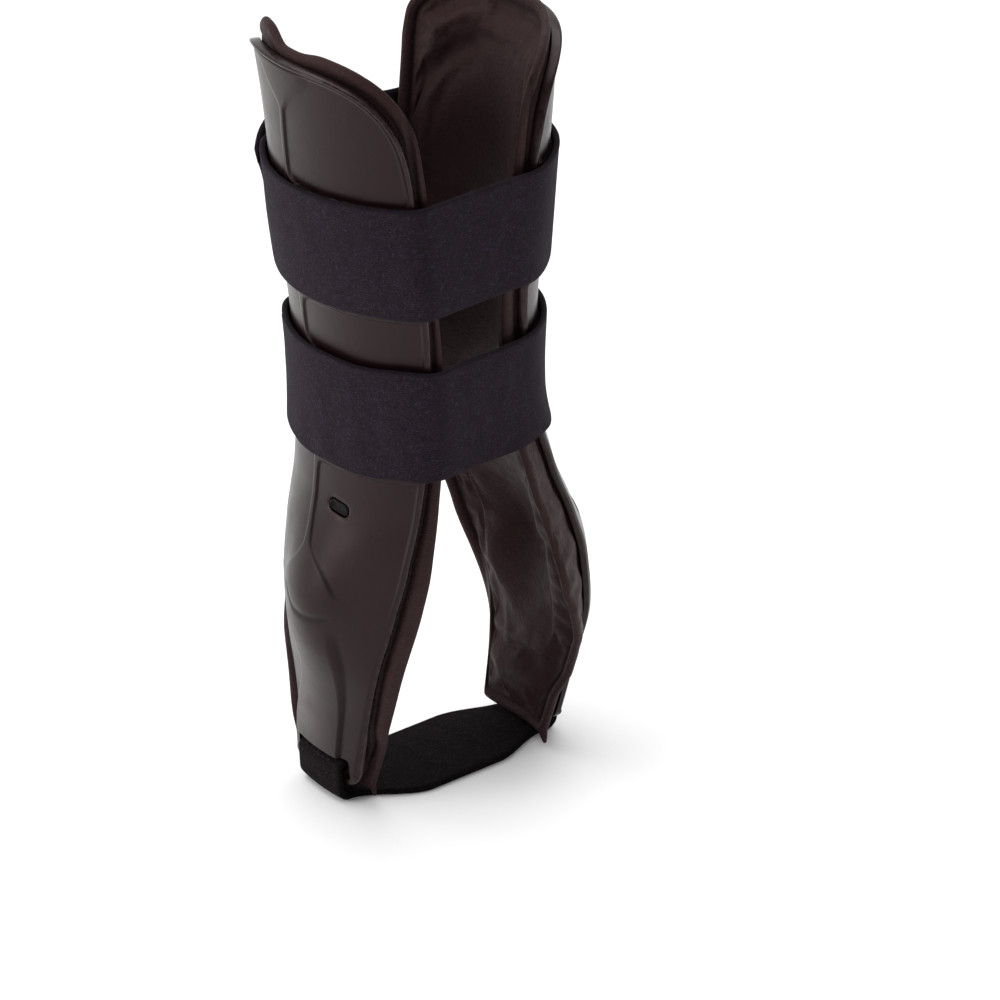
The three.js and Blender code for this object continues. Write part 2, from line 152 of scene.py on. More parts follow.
CAMERA_AZIMUTH = 36.0
CAMERA_ELEVATION = 27.0
CAMERA_ROLL = -2.2
CAMERA_DISTANCE = 1800.0
CAMERA_TARGET = (0.0, 0.0, 103.7)
FOCAL_PIXELS = 5400.0
TARGET_PIXEL = (429.0, 492.0)
IMAGE_SIZE = 1000.0
SENSOR = 36.0
FLOOR_REACH = 6.0
DARK_SIDE = (-0.45, -0.85, 0.27)
WORLD_BRIGHT = 0.85
WORLD_DIM = 0.22
WORLD_FADE = (-0.3, 0.85)
OVERHEAD_POWER = 2.2
OVERHEAD_SPREAD = 70.0
OVERHEAD_LEAN = (-12.0, 6.0, 0.0)
LIGHT_TARGET = (0, 0, 0.14)
LIGHTS = (
    ("left", (-1.1, 0.35, 0.55), (0.5, 1.0), 7.5),
    ("front", (-0.5, -1.3, 0.9), (0.9, 0.7), 2.0),
)

# Shell sections from the floor up: height, spread, radius, shift, front, back, flange
COLUMNS = ("height", "spread", "radius", "shift", "front", "back", "flange")
LATERAL = np.array([
    (0.022, 0.82, 1.40, 0.17, 0.30, 0.42, 0.30),
    (0.125, 0.86, 1.11, 0.13, 0.44, 0.47, 0.85),
    (0.217, 0.93, 0.94, 0.09, 0.60, 0.51, 1.05),
    (0.290, 0.94, 0.93, 0.07, 0.73, 0.66, 1.10),
    (0.353, 0.92, 0.93, 0.04, 0.80, 0.74, 1.00),
    (0.430, 0.84, 0.96, 0.02, 0.83, 0.80, 0.72),
    (0.530, 0.80, 1.00, 0.01, 0.88, 0.87, 0.55),
    (0.621, 0.82, 1.00, 0.00, 0.92, 0.91, 0.45),
    (0.768, 0.90, 1.02, 0.00, 0.96, 0.93, 0.38),
    (0.897, 0.95, 1.02, 0.00, 0.95, 0.96, 0.50),
    (1.000, 1.01, 1.04, 0.00, 0.95, 0.96, 0.50),
])
MEDIAL = np.array([
    (0.022, 0.88, 1.40, 0.07, 0.36, 0.40, 0.60),
    (0.125, 0.94, 1.11, -0.04, 0.46, 0.48, 1.10),
    (0.217, 1.00, 0.90, -0.13, 0.58, 0.63, 2.00),
    (0.290, 1.01, 0.86, -0.09, 0.66, 0.70, 2.60),
    (0.346, 0.97, 0.86, -0.03, 0.70, 0.74, 2.45),
    (0.420, 0.85, 0.86, 0.02, 0.74, 0.80, 2.05),
    (0.530, 0.78, 0.84, 0.11, 0.90, 0.89, 1.40),
    (0.621, 0.81, 0.84, 0.11, 1.09, 0.93, 0.98),
    (0.768, 0.89, 0.86, 0.10, 1.165, 0.96, 0.80),
    (0.897, 0.96, 0.88, 0.08, 1.165, 0.96, 0.74),
    (1.000, 1.01, 0.90, 0.07, 1.14, 0.96, 0.80),
])
SIDES = {"lateral": (-1, LATERAL), "medial": (1, MEDIAL)}
TOPS = {
    "lateral": (SHELL_TOP, LATERAL_CORNER_DROP),
    "medial": (SHELL_TOP - MEDIAL_TOP_DROP, MEDIAL_CORNER_DROP),
}


# The surface
def along(table, column, z):
    """A column of a section table at heights z, by a smooth curve that never overshoots."""
    x = table[:, 0]
    v = table[:, COLUMNS.index(column)]
    h = np.clip(np.asarray(z, float) / SHELL_TOP, x[0], x[-1])
    slope = np.diff(v) / np.diff(x)
    tangent = np.zeros(len(x))
    tangent[0], tangent[-1] = slope[0], slope[-1]
    for i in range(1, len(x) - 1):
        before, after = slope[i - 1], slope[i]
        if before * after > 0:
            tangent[i] = 2 * before * after / (before + after)
    k = np.clip(np.searchsorted(x, h) - 1, 0, len(x) - 2)
    span = x[k + 1] - x[k]
    t = (h - x[k]) / span
    return (
        (2 * t**3 - 3 * t**2 + 1) * v[k]
        + (t**3 - 2 * t**2 + t) * span * tangent[k]
        + (3 * t**2 - 2 * t**3) * v[k + 1]
        + (t**3 - t**2) * span * tangent[k + 1]
    )


def smooth_step(low, high, value):
    t = np.clip((np.asarray(value, float) - low) / (high - low), 0, 1)
    return t * t * (3 - 2 * t)


def surface(half, arc, z, out):
    """Points at an arc forward of the half's centre line, a height, and out from its outer face."""
    side, table = SIDES[half]
    radius = along(table, "radius", z) * SECTION_RADIUS
    spread = along(table, "spread", z) * HALF_WIDTH
    shift = along(table, "shift", z) * EDGE_REACH
    dome = DOME_HEIGHT * np.exp(
        -((arc / DOME_HALF_WIDTH) ** 2) - ((z - DOME_CENTRE) / DOME_HALF_HEIGHT) ** 2
    )
    angle = arc / radius
    reach = radius + out + dome
    x = side * (spread - radius + reach * np.cos(angle))
    y = shift - reach * np.sin(angle)
    return np.stack(np.broadcast_arrays(x, y, z), -1)


def shell_arc(half, q, z):
    table = SIDES[half][1]
    return q * EDGE_REACH * np.where(q > 0, along(table, "front", z), along(table, "back", z))


def liner_arc(half, q, z):
    share = np.where(q > 0, 1.0, BACK_FLANGES[half])
    return shell_arc(half, q, z) + q * share * FLANGE_REACH * along(SIDES[half][1], "flange", z)


def corner_curve(q):
    return 1 - (1 - np.minimum(np.abs(q), 1) ** RIM_POWER) ** (1 / RIM_POWER)


def shell_top(half, q):
    top, corner_drop = TOPS[half]
    return top - np.where(q > 0, corner_drop, BACK_CORNER_DROP) * corner_curve(q)


def shell_foot(q):
    return SHELL_FOOT + FOOT_CORNER_RISE * corner_curve(q)


def liner_top(half, q):
    back_lobe = BACK_LOBE_RISE * smooth_step(*BACK_LOBE_START, -q)
    back_lobe = back_lobe - BACK_LOBE_FALL * smooth_step(*BACK_LOBE_END, -q)
    front_lobe = FRONT_LOBE_SHARE * BACK_LOBE_RISE * smooth_step(*FRONT_LOBE_START, q)
    return shell_top(half, q) + LINER_RISE + back_lobe + front_lobe


def liner_foot(q):
    tip = (LINER_FOOT - LINER_TIP) * smooth_step(0.85, 1, q)
    back_rise = 2 * FOOT_CORNER_RISE - BACK_FOOT_DROP
    return LINER_FOOT - tip + back_rise * corner_curve(np.minimum(q, 0))


def strap_room(z):
    """How far the liner leans in at its foot, clear of the heel strap's tucked end."""
    room = HEEL_THICKNESS + 2 * HEEL_GAP
    clear_top = BAR_TOP + SLOT_HEIGHT + LINER_THICKNESS / 2
    return room * (1 - smooth_step(clear_top, clear_top + 2 * room + HEEL_HEM, z))


def crowded(count, weight):
    """Values from -1 to 1 that lie closer together where weight(value) is high."""
    fine = np.linspace(-1, 1, 8001)
    total = np.cumsum(weight(fine))
    total = (total - total[0]) / (total[-1] - total[0])
    return np.interp(np.linspace(0, 1, count), total, fine)


# The relief
def distance_to(line, arc, z):
    """Distance in the unrolled face from each point to a line."""
    best = np.full(arc.shape, 1e9)
    for a, b in zip(line[:-1], line[1:]):
        d = b - a
        t = np.clip(((arc - a[0]) * d[0] + (z - a[1]) * d[1]) / max(d @ d, 1e-9), 0, 1)
        best = np.minimum(best, np.hypot(arc - a[0] - t * d[0], z - a[1] - t * d[1]))
    return best


def within(line, arc, z):
    """Signed distance to a closed line, positive inside."""
    inside = np.zeros(arc.shape, bool)
    closed = np.vstack([line, line[:1]])
    for a, b in zip(closed[:-1], closed[1:]):
        if a[1] == b[1]:
            continue
        crosses = (a[1] > z) != (b[1] > z)
        inside ^= crosses & (arc < a[0] + (z - a[1]) * (b[0] - a[0]) / (b[1] - a[1]))
    near = distance_to(closed, arc, z)
    return np.where(inside, near, -near)


# Lines of the moulding, as (arc, height) on the unrolled outer face
FAR = 70.0
TOP_PANEL = [
    (-3.6, 255.2), (-4.6, 254.0), (-5.8, 246.4), (-6.5, 237.3), (-6.2, 231.0), (-4.9, 229.2),
    (-2.5, 228.2), (2.9, 227.7), (FAR, 227.5), (FAR, 290.0), (14.0, 290.0), (9.0, 268.0),
    (4.5, 263.1), (2.2, 261.0), (-0.4, 258.6),
]
MIDDLE_PANEL = [
    (FAR, 187.0), (0.0, 187.0), (-5.5, 186.6), (-8.0, 184.4), (-9.0, 176.4), (-8.4, 170.7),
    (-4.4, 168.2), (2.1, 167.6), (FAR, 167.4),
]
LOW_PANEL = [
    (FAR, 128.0), (0.0, 128.0), (-3.6, 127.4), (-4.6, 125.3), (-4.7, 116.3), (-4.3, 109.5),
    (-2.9, 102.3), (-1.6, 98.4), (0.6, 96.0), (4.6, 93.0), (8.5, 89.6), (12.6, 84.0),
    (18.0, 74.0), (26.0, 66.0), (FAR, 60.0),
]
BACK_PANEL = [
    (-FAR, 268.5), (-18.6, 268.5), (-15.2, 263.9), (-12.5, 260.9), (-9.1, 257.9), (-6.9, 255.6),
    (-6.6, 253.0), (-7.9, 246.4), (-8.6, 237.3), (-9.0, 215.0), (-10.4, 184.4), (-11.2, 176.4),
    (-10.6, 169.0), (-7.6, 148.0), (-6.7, 125.3), (-6.8, 116.3), (-6.4, 109.5), (-5.2, 102.3),
    (-5.0, 97.6), (-7.6, 93.4), (-12.6, 88.0), (-20.0, 80.0), (-FAR, 80.0),
]
PLATEAU_RIGHT = [
    (9.4, 74.0), (9.2, 65.7), (9.6, 60.0), (10.5, 55.1), (10.7, 48.7), (10.2, 41.0), (9.1, 32.8),
    (7.5, 24.5), (6.2, 16.0),
]
VALLEY_RIGHT = [
    (13.0, 74.0), (13.5, 66.9), (14.3, 62.0), (14.9, 55.5), (14.2, 48.9), (12.1, 39.1),
    (9.9, 30.5), (8.6, 22.3), (7.4, 16.0),
]
PLATEAU_LEFT = [
    (-20.0, 74.0), (-13.0, 66.5), (-8.2, 60.5), (-6.8, 53.9), (-8.8, 46.2), (-11.6, 40.6),
    (-15.4, 32.6), (-18.0, 25.0), (-19.4, 16.0),
]
CREASE = [(-12.0, 80.0), (-6.8, 75.9), (-4.5, 74.6), (0.8, 74.3), (5.7, 74.9), (11.6, 76.4)]

PANEL_DEPTH = 0.7
BACK_PANEL_DEPTH = 0.28
STEP_SOFT = 0.35
PLATEAU_RISE = 1.6
DOME_LIP = 0.2
CREASE_DEPTH = 0.3
LIP_HEIGHT = 0.75
LIP_MIDDLE = 0.7
LIP_HALF_WIDTH = 0.95
LIP_FADE = 14.0
LIP_LINE_DEPTH = 0.5
LIP_LINE_PLACE = 1.9
LIP_LINE_HALF_WIDTH = 0.38
BEVELS = {"front": (0.6, 2.2), "back": (0.5, 2.0)}
BEVEL_START = (1.0, 6.0)
RIM_RADIUS = 0.7


def line_at(points, known, wanted, values):
    """The other coordinate of a line at given values of one of its coordinates."""
    p = np.array(points)
    p = p[np.argsort(p[:, known])]
    return np.interp(values, p[:, known], p[:, wanted])


def rounded_loop(points):
    """A closed line with its corners cut, twice over."""
    p = np.array(points, float)
    for _ in range(2):
        q = np.roll(p, -1, axis=0)
        p = np.stack([0.75 * p + 0.25 * q, 0.25 * p + 0.75 * q], 1).reshape(-1, 2)
    return p


def outline_distances(half, arc, z):
    """Distance from each point of the face to the shell's top, front, foot and back edges."""
    q = np.sin(np.linspace(-pi / 2, pi / 2, 121))
    rims = {}
    for name, height in (("top", shell_top(half, q)), ("foot", shell_foot(q))):
        rims[name] = np.stack([shell_arc(half, q, height), height], -1)
    for name, edge in (("front", 1.0), ("back", -1.0)):
        at = np.array([edge])
        height = np.linspace(shell_foot(at)[0], shell_top(half, at)[0], 90)
        rims[name] = np.stack([shell_arc(half, edge, height), height], -1)
    return {name: distance_to(line, arc, z) for name, line in rims.items()}


def shell_relief(half, arc, z):
    """Height of the moulded detail on a shell's face, its worn places, the places where shade is
    painted into creases and lines, and the plateau where a highlight is painted.
    """
    near = outline_distances(half, arc, z)
    rim = np.minimum.reduce(list(near.values()))
    framed = smooth_step(1.8, 3.2, near["top"]) * smooth_step(1.6, 2.8, near["front"])
    framed *= smooth_step(1.2, 2.4, near["back"])
    recess = np.zeros(arc.shape)
    line = np.zeros(arc.shape)
    # the top panel's fork and the low panel's slanted corner fade out softly
    fork_soft = STEP_SOFT + 2.4 * smooth_step(254.5, 262.0, z)
    low_soft = STEP_SOFT + 5.0 * (1 - smooth_step(81.0, 86.0, z))
    for points, depth, soft in ((TOP_PANEL, PANEL_DEPTH, fork_soft),
                                (MIDDLE_PANEL, PANEL_DEPTH, STEP_SOFT),
                                (LOW_PANEL, PANEL_DEPTH, low_soft),
                                (BACK_PANEL, BACK_PANEL_DEPTH, STEP_SOFT + 0.1)):
        distance = within(rounded_loop(points), arc, z)
        share = smooth_step(-soft, soft, distance)
        if points is LOW_PANEL:
            share = share * smooth_step(66.0, 100.0, z)
        recess = np.maximum(recess, depth * share)
        if points is not BACK_PANEL:
            near_line = np.exp(-(((distance - 0.2) / 0.45) ** 2)) * (STEP_SOFT / soft)
            line = np.maximum(line, near_line * smooth_step(78.0, 86.0, z))
    height = -recess * framed
    # painted shade: the panels' step lines are darkened in the colour
    painted_shade = 0.8 * line * framed

    # raised plateau above the heel strap, with a soft valley in front of it, a painted highlight on
    # the plateau and painted shade in the valley
    inner = line_at(PLATEAU_RIGHT, 1, 0, z)
    outer = line_at(VALLEY_RIGHT, 1, 0, z)
    slope = (arc - inner) / (outer - inner)
    plateau = 1 - smooth_step(0, 1, slope)
    plateau *= smooth_step(-1.4, 1.2, arc - line_at(PLATEAU_LEFT, 1, 0, z))
    plateau *= 1 - smooth_step(60.0, 75.0, z)
    height += PLATEAU_RISE * plateau
    # painted highlight: a lighter tone on the plateau's lower back half
    painted_highlight = plateau * (1 - smooth_step(0.1, 0.9, (arc + 20.0) / 32.0)) * smooth_step(14.0, 30.0, z)
    # painted shade darkens the valley in front of the plateau
    painted_shade += 0.6 * np.exp(-(((slope - 0.75) / 0.35) ** 2)) * (1 - smooth_step(64.0, 74.0, z))

    # crease under the ankle bone's dome, with painted shade in it
    above = z - line_at(CREASE, 0, 1, arc)
    span = smooth_step(-19.0, -10.0, arc) * (1 - smooth_step(8.0, 14.0, arc))
    fading = np.exp(-((np.maximum(above, 0) / 16) ** 2)) * span
    height += DOME_LIP * smooth_step(-3.0, 3.0, above) * fading
    height -= CREASE_DEPTH * np.exp(-(((above + 0.8) / 1.7) ** 2)) * span
    # painted shade in the crease
    painted_shade += 0.75 * np.exp(-(((above + 0.8) / 1.6) ** 2)) * span

    # rounded lip along the top with a fine line under it, painted shade in that line, and soft
    # bevels down the sides
    top, corner_drop = TOPS[half]
    lip_end = top - np.where(arc > 0, corner_drop, BACK_CORNER_DROP)
    lip = smooth_step(0.0, LIP_FADE, z - lip_end)
    lip_line = lip * np.exp(-(((near["top"] - LIP_LINE_PLACE) / LIP_LINE_HALF_WIDTH) ** 2))
    from_middle = (near["top"] - LIP_MIDDLE) / LIP_HALF_WIDTH
    height += LIP_HEIGHT * lip * np.sqrt(np.clip(1 - from_middle**2, 0, 1))
    height -= LIP_LINE_DEPTH * lip_line
    # painted shade in the fine line under the lip
    painted_shade += 0.8 * lip_line
    bevelled = smooth_step(*BEVEL_START, near["top"])
    for edge, (depth, width) in BEVELS.items():
        height -= depth * (1 - smooth_step(0.2, width, near[edge])) * bevelled
    inset = np.clip(RIM_RADIUS - rim, 0, RIM_RADIUS)
    height -= RIM_RADIUS - np.sqrt(np.maximum(RIM_RADIUS**2 - inset**2, 0))
    port = tilted(oval(PORT_LENGTH, PORT_WIDTH), PORT_TILT) + (PORT_ARC, PORT_HEIGHT)
    height -= PORT_RIM * (1 - smooth_step(0.0, 1.3, -within(port, arc, z)))
    wear = 1 - smooth_step(0.2, 1.6, rim)
    return height, {"wear": wear, "painted_shade": np.clip(painted_shade, 0, 1), "painted_highlight": painted_highlight}


# The meshes
def grid_faces(columns, rows, start=0, flip=False):
    """Quads of a grid whose point (i, j) has the number start + i * rows + j."""
    faces = []
    for i in range(columns - 1):
        a = start + i * rows
        b = a + rows
        for j in range(rows - 1):
            face = (a + j, b + j, b + j + 1, a + j + 1)
            faces.append(face[::-1] if flip else face)
    return faces


def face_outwards(mesh):
    facing = bmesh.new()
    facing.from_mesh(mesh)
    bmesh.ops.recalc_face_normals(facing, faces=facing.faces)
    facing.to_mesh(mesh)
    facing.free()


def shade_smooth(mesh, sharp_angle):
    mesh.polygons.foreach_set("use_smooth", [True] * len(mesh.polygons))
    mesh.set_sharp_from_angle(angle=sharp_angle)


def add_object(name, data):
    made = bpy.data.objects.new(name, data)
    scene.collection.objects.link(made)
    return made


def new_piece(name, points, faces, material=None, sharp_angle=0.7):
    mesh = bpy.data.meshes.new(name)
    mesh.from_pydata((np.asarray(points) * MM).tolist(), [], faces)
    face_outwards(mesh)
    shade_smooth(mesh, sharp_angle)
    if material:
        mesh.materials.append(material)
    return add_object(name, mesh)


def slab(name, outer, inner, material, sharp_angle=0.9):
    """A closed piece between two sheets of points, each of shape (columns, rows, 3)."""
    columns, rows = outer.shape[:2]
    base = columns * rows
    points = np.vstack([outer.reshape(-1, 3), inner.reshape(-1, 3)])
    faces = grid_faces(columns, rows) + grid_faces(columns, rows, base, flip=True)
    for i in range(columns - 1):
        for j in (0, rows - 1):
            a, b = i * rows + j, (i + 1) * rows + j
            faces.append((a, b, base + b, base + a))
    for i in (0, columns - 1):
        for j in range(rows - 1):
            a, b = i * rows + j, i * rows + j + 1
            faces.append((a, b, base + b, base + a))
    return new_piece(name, points, faces, material, sharp_angle)


def point_values(piece, **named):
    for name, values in named.items():
        attribute = piece.data.attributes.new(name, "FLOAT", "POINT")
        attribute.data.foreach_set("value", np.asarray(values, np.float32).ravel())


def sheet_values(piece, **named):
    """The same values on both sheets of a slab."""
    point_values(piece, **{name: np.stack([values] * 2) for name, values in named.items()})


def apply_modifiers(piece):
    graph = bpy.context.evaluated_depsgraph_get()
    made = bpy.data.meshes.new_from_object(piece.evaluated_get(graph))
    old = piece.data
    piece.modifiers.clear()
    piece.data = made
    bpy.data.meshes.remove(old)


def cut(piece, *cutters):
    """Takes closed meshes out of a piece."""
    for cutter in cutters:
        modifier = piece.modifiers.new("cut", "BOOLEAN")
        modifier.operation = "DIFFERENCE"
        modifier.solver = "EXACT"
        modifier.object = cutter
    apply_modifiers(piece)
    for cutter in cutters:
        bpy.data.objects.remove(cutter)


def dress(piece, node):
    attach(piece, "root")
    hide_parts(node)


# The shells
def oval(length, width, steps=24):
    """Outline of a stadium about its own centre."""
    straight = (length - width) / 2
    angle = np.linspace(-pi / 2, pi / 2, steps)
    front = np.stack([straight + width / 2 * np.cos(angle), width / 2 * np.sin(angle)], -1)
    return np.vstack([front, -front])


def tilted(outline, degrees):
    angle = radians(degrees)
    turn = np.array([[cos(angle), sin(angle)], [-sin(angle), cos(angle)]])
    return outline @ turn


def slot_outline():
    """The heel strap's slot: a long opening whose front end runs down beside the strap."""
    w = HEEL_TAB_WIDTH / 2 + SLOT_SIDE_GAP
    h = SLOT_HEIGHT / 2
    r = SLOT_CORNER
    foot = -h - SLOT_NOTCH_DEPTH
    inner = w - SLOT_NOTCH_WIDTH
    corners = [(w - r, h - r, 0), (-w + r, h - r, 90), (-w + r, -h + r, 180), None,
               (inner + r, foot + r, 180), (w - r, foot + r, 270)]
    outline = []
    for corner in corners:
        if corner is None:
            outline.append((inner, -h))
            continue
        for step in range(7):
            a = radians(corner[2] + 90 * step / 6)
            outline.append((corner[0] + r * cos(a), corner[1] + r * sin(a)))
    return np.array(outline)


def wall_axes(half, arc, z):
    """The face point at a place, and the forward, upward and outward directions there."""
    centre = surface(half, np.array(arc), np.array(z), 0.0)
    out = surface(half, np.array(arc), np.array(z), 1.0) - centre
    out /= np.linalg.norm(out)
    up = np.array([0.0, 0.0, 1.0])
    forward = np.cross(up, out) * -SIDES[half][0]
    return centre, forward / np.linalg.norm(forward), up, out


def wall_prism(half, outline, arc, z):
    """A prism through the wall, from an outline in (arc, height) about a point."""
    centre, forward, up, out = wall_axes(half, arc, z)
    past = DOME_HEIGHT + SHELL_WALL
    ring = centre + outline[:, :1] * forward + outline[:, 1:] * up
    count = len(outline)
    points = np.vstack([ring - out * past, ring + out * past])
    faces = [tuple(range(count)), tuple(range(2 * count - 1, count - 1, -1))]
    for k in range(count):
        n = (k + 1) % count
        faces.append((k, n, count + n, count + k))
    return new_piece("cutter", points, faces)


def tab_arc(half):
    z = np.array(BAR_TOP)
    return float(shell_arc(half, np.array(1.0), z) + shell_arc(half, np.array(-1.0), z)) / 2


def shell(half, material):
    """A moulded shell: a fine outer face with its relief, a plainer inner face and the rim."""
    step = 3
    columns = 64 * step + 1
    rows = 132 * step + 1
    q = crowded(columns, lambda v: 1 + 1.6 * np.exp(-((v / 0.24) ** 2)) + 1.8 * np.abs(v) ** 14)
    t = (crowded(rows, lambda v: 1 + 2.6 * np.clip(v, 0, 1) ** 40 + 0.8 * np.clip(-v, 0, 1) ** 16)
         + 1) / 2
    top, foot = shell_top(half, q), shell_foot(q)
    height = foot[:, None] + (top - foot)[:, None] * t[None, :]
    arc = shell_arc(half, q[:, None] + 0 * height, height)
    relief, marks = shell_relief(half, arc, height)
    outer = surface(half, arc, height, relief)
    inner = surface(half, arc, height, -SHELL_WALL)[::step, ::step]
    inner_columns, inner_rows = inner.shape[:2]
    base = columns * rows
    points = np.vstack([outer.reshape(-1, 3), inner.reshape(-1, 3)])
    faces = grid_faces(columns, rows) + grid_faces(inner_columns, inner_rows, base, flip=True)
    for i in range(inner_columns - 1):
        for j, last in ((0, 0), (rows - 1, inner_rows - 1)):
            fine = [(i * step + k) * rows + j for k in range(step + 1)]
            faces.append((*fine, base + (i + 1) * inner_rows + last, base + i * inner_rows + last))
    for j in range(inner_rows - 1):
        for i, last in ((0, 0), (columns - 1, inner_columns - 1)):
            fine = [i * rows + j * step + k for k in range(step + 1)]
            faces.append((*fine, base + last * inner_rows + j + 1, base + last * inner_rows + j))
    piece = new_piece(f"{half}_shell", points, faces, material)
    inside = np.zeros(inner.size // 3)
    marks = {name: np.concatenate([values.ravel(), inside]) for name, values in marks.items()}
    point_values(piece, **marks)
    port = wall_prism(half, tilted(oval(PORT_LENGTH, PORT_WIDTH), PORT_TILT), PORT_ARC, PORT_HEIGHT)
    slot = wall_prism(half, slot_outline(), tab_arc(half), BAR_TOP + SLOT_HEIGHT / 2)
    cut(piece, port, slot)
    shade_smooth(piece.data, 0.6)
    dress(piece, f"shell_{half}")


def valve(half, material):
    """The rubber plug in the fill port, with a rounded lip and a sunk face."""
    length, width = PORT_LENGTH - 2 * PLUG_GAP, PORT_WIDTH - 2 * PLUG_GAP
    rings = [
        (0.0, -SHELL_WALL + PLUG_INSET), (0.0, -PLUG_RECESS - 0.5), (0.15, -PLUG_RECESS - 0.15),
        (0.45, -PLUG_RECESS), (0.7, -PLUG_RECESS - 0.1), (0.85, -PLUG_RECESS - 0.5),
        (1.1, -PLUG_RECESS - 0.65), (1.5, -PLUG_RECESS - 0.7),
    ]
    centre, forward, up, out = wall_axes(half, PORT_ARC, PORT_HEIGHT)
    points = []
    for inset, level in rings:
        outline = tilted(oval(length - 2 * inset, width - 2 * inset, 16), PORT_TILT)
        points.append(centre + outline[:, :1] * forward + outline[:, 1:] * up + out * level)
    count = len(points[0])
    faces = []
    for r in range(len(rings) - 1):
        for k in range(count):
            n = (k + 1) % count
            faces.append((r * count + k, r * count + n, (r + 1) * count + n, (r + 1) * count + k))
    faces.append(tuple(range(count - 1, -1, -1)))
    top = (len(rings) - 1) * count
    faces.append(tuple(range(top, top + count)))
    piece = new_piece(f"{half}_valve", np.vstack(points), faces, material, 0.9)
    dress(piece, f"valve_{half}")


# The liners
def swell(piece, held, cap):
    """Lets the free side of a closed mesh swell under pressure, then keeps the result."""
    count = len(piece.data.vertices)
    before = np.empty(count * 3)
    piece.data.vertices.foreach_get("co", before)
    group = piece.vertex_groups.new(name="held")
    for weight in np.unique(held):
        group.add(np.flatnonzero(held == weight).tolist(), float(weight), "REPLACE")
    modifier = piece.modifiers.new("Cloth", "CLOTH")
    cloth = modifier.settings
    for setting, value in CLOTH.items():
        setattr(cloth, setting, value)
    cloth.effector_weights.gravity = 0
    cloth.vertex_group_mass = "held"
    modifier.collision_settings.use_collision = False
    for step in range(1, SWELL_FRAMES + 1):
        scene.frame_set(step)
    graph = bpy.context.evaluated_depsgraph_get()
    after = np.empty(count * 3)
    piece.evaluated_get(graph).data.vertices.foreach_get("co", after)
    piece.modifiers.clear()
    piece.vertex_groups.clear()
    scene.frame_set(1)
    move = (after - before).reshape(-1, 3)
    length = np.linalg.norm(move, axis=1)
    limited = cap * MM * np.tanh(length / (cap * MM))
    move *= (limited / np.maximum(length, 1e-12))[:, None]
    piece.data.vertices.foreach_set("co", before + move.ravel())
    piece.data.update()
    reached, kept = length.max() / MM, limited.max() / MM
    print(f"{piece.name}: swelled by up to {reached:.1f} mm, kept {kept:.1f}")


def liner(half, material):
    """A padded liner: a flat welded flange, a pinched seam inside it and a swollen pad."""
    columns, rows = 65, 121
    q = crowded(columns, lambda v: 1 + 1.4 * smooth_step(0.45, 0.75, np.abs(v)))
    share = (crowded(rows, lambda v: 1 + 3 * np.abs(v) ** 24) + 1) / 2
    top, foot = liner_top(half, q), liner_foot(q)
    height = foot[:, None] + (top - foot)[:, None] * share[None, :]
    arc = liner_arc(half, q[:, None] + 0 * height, height)
    edges = np.stack([arc, height], -1)
    rim_line = np.vstack([edges[:, 0], edges[-1], edges[::-1, -1], edges[0, ::-1]])
    inset = distance_to(rim_line, arc, height)
    beyond = np.abs(arc) - np.abs(shell_arc(half, np.sign(q)[:, None] + 0 * height, height))
    behind = (q < 0)[:, None]
    room = strap_room(height) * (1 - smooth_step(-1.5, 1.0, beyond) * behind)
    flare = smooth_step(0.3, 4.0, beyond)
    flare = flare * (1 - smooth_step(FLARE_TOP - FLARE_FADE, FLARE_TOP, height))
    face_out = -SHELL_WALL - LINER_GAP - room
    face_out += FLARE * flare * behind * smooth_step(4.0, 11.0, height)
    if half == "medial":
        wrinkles = unevenness(5, height, arc, 20.0, 8.0, 6) * smooth_step(*WRINKLE_START, height)
        wrinkles *= 1 - smooth_step(*WRINKLE_END, height)
        face_out += WRINKLE_DEPTH * wrinkles * smooth_step(-4.0, 5.0, beyond) * ~behind
    bulge = smooth_step(1.2, 6.0, beyond) * smooth_step(0.5, 5.0, inset)
    bulge *= (1 - smooth_step(BULGE_TOP - 8, BULGE_TOP, height)) * (half == "lateral")
    groove = np.exp(-(((beyond - GROOVE_PLACE) / GROOVE_HALF_WIDTH) ** 2))
    groove = groove * ~behind * smooth_step(*GROOVE_START, height)
    detail = SIDE_BULGE * bulge * ~behind - GAP_GROOVE * groove
    seam = np.exp(-(((inset - SEAM_INSET) / SEAM_HALF_WIDTH) ** 2))
    rounding = 0.9 * (1 - smooth_step(0.0, 1.4, inset))
    pad = smooth_step(SEAM_INSET - 0.4, SEAM_INSET + PAD_SHOULDER, inset)
    start = LINER_THICKNESS - SWELL_ROOM
    thickness = FLANGE_THICKNESS + (start - FLANGE_THICKNESS) * pad - SEAM_DEPTH * seam - rounding
    plain = 1 - 0.8 * smooth_step(0.0, 2.0, beyond) * ~behind
    detail = detail - 0.5 * SEAM_DEPTH * seam * plain - rounding
    outer = surface(half, arc, height, face_out + detail)
    inner = surface(half, arc, height, face_out - thickness)
    piece = slab(f"{half}_liner", outer, inner, material, FLAT_ANGLE)
    welded = 1 - smooth_step(SEAM_INSET + 0.5, SEAM_INSET + 2.5, inset)
    # on the outer face the seam value also holds the groove beside the shell's edge, where shade is
    # painted
    point_values(piece, seam=np.stack([np.maximum(seam * plain, groove), seam]))
    held = np.concatenate([np.ones(arc.size), np.round(welded.ravel(), 2)])
    swell(piece, held, SWELL_CAP)
    modifier = piece.modifiers.new("soft", "SUBSURF")
    modifier.levels = modifier.render_levels = 1
    apply_modifiers(piece)
    shade_smooth(piece.data, FLAT_ANGLE)
    dress(piece, f"liner_{half}")


